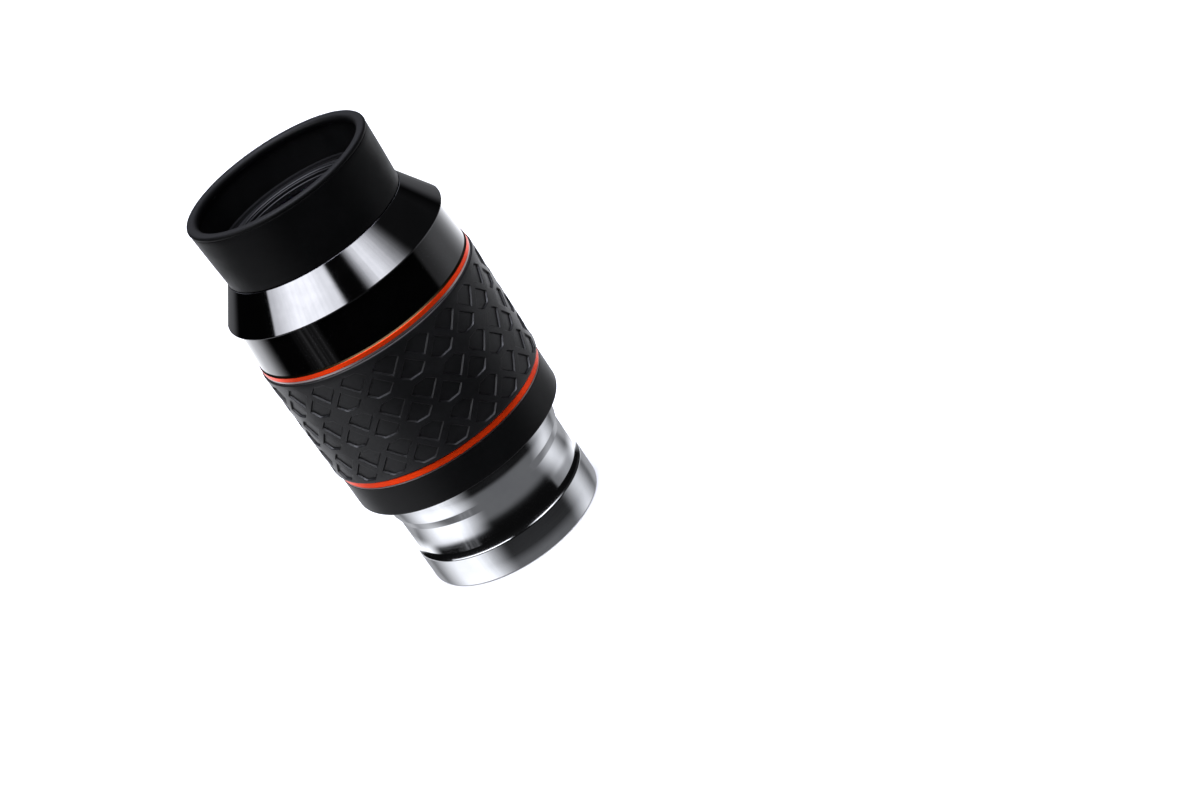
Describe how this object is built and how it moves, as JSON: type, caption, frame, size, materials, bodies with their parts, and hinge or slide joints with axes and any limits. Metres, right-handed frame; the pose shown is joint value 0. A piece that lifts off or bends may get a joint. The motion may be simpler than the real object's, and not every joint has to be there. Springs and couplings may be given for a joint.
{
  "type": "telescope eyepiece",
  "caption": "Wide-field telescope eyepiece with a 2 inch barrel, rubber-gripped body between two accent rings, gloss cone and a twist-up rubber eyecup.",
  "frame": {"origin": "on the optical axis at the barrel's open end, the lowest point, so the eyepiece stands on its barrel at Z = 0", "axes": "+Z along the optical axis towards the eye; +X through the first guide screw with the eyecup down"},
  "size_m": [0.0634, 0.0634, 0.1177],
  "materials": {
    "barrel_metal": "polished chrome plate",
    "satin_black": "satin black anodised",
    "bright_metal": "bare turned aluminium",
    "accent_orange": "gloss orange anodised, bevelled edge",
    "black_anodised": "matt black anodised",
    "gloss_black": "gloss black anodised over fine turning marks",
    "grip_rubber": "matt moulded rubber with recessed tread",
    "eyecup_rubber": "matt soft rubber",
    "coated_glass": "multi-coated",
    "screw_steel": "plain",
    "brass": "satin"
  },
  "bodies": {
    "housing": {"barrel": "barrel_metal", "lower_housing": "satin_black", "lower_bright_ring": "bright_metal", "lower_accent_ring": "accent_orange", "main_body": "black_anodised", "rubber_grip": "grip_rubber", "upper_bright_ring": "bright_metal", "upper_accent_ring": "accent_orange", "name_band": "gloss_black", "cone_housing": "gloss_black", "guide_tube": "black_anodised", "optics_tube": "black_anodised", "field_cell": "black_anodised", "field_doublet_flint": "coated_glass", "field_doublet_crown": "coated_glass", "field_retainer": "black_anodised", "field_stop": "black_anodised", "field_lens": "coated_glass", "lower_spacer": "black_anodised", "middle_doublet_flint": "coated_glass", "middle_doublet_crown": "coated_glass", "middle_spacer": "black_anodised", "upper_doublet_flint": "coated_glass", "upper_doublet_crown": "coated_glass", "doublet_retainer": "black_anodised", "inner_eye_lens": "coated_glass", "eye_spacer": "black_anodised", "eye_lens": "coated_glass", "eye_lens_retainer": "black_anodised", "body_lock_screws": "screw_steel", "click_plungers": "screw_steel"},
    "click_ring": {"click_ring": "brass"},
    "eyecup": {"eyecup_sleeve": "black_anodised", "guide_screws": "screw_steel", "rubber_eyecup": "eyecup_rubber"}
  },
  "joints": [
    {"name": "eyecup_twist", "type": "hinge", "parent": "housing", "child": "click_ring", "pos_m": [0, 0, 0.095], "axis": [0, 0, 1], "range_deg": [0, 90]},
    {"name": "eyecup_rise", "type": "slide", "parent": "click_ring", "child": "eyecup", "axis": [0, 0, 1], "range_m": [0, 0.005]}
  ],
  "couplings": [
    {"joint": "eyecup_rise", "follows": "eyecup_twist", "m_per_rad": 0.0031831}
  ]
}
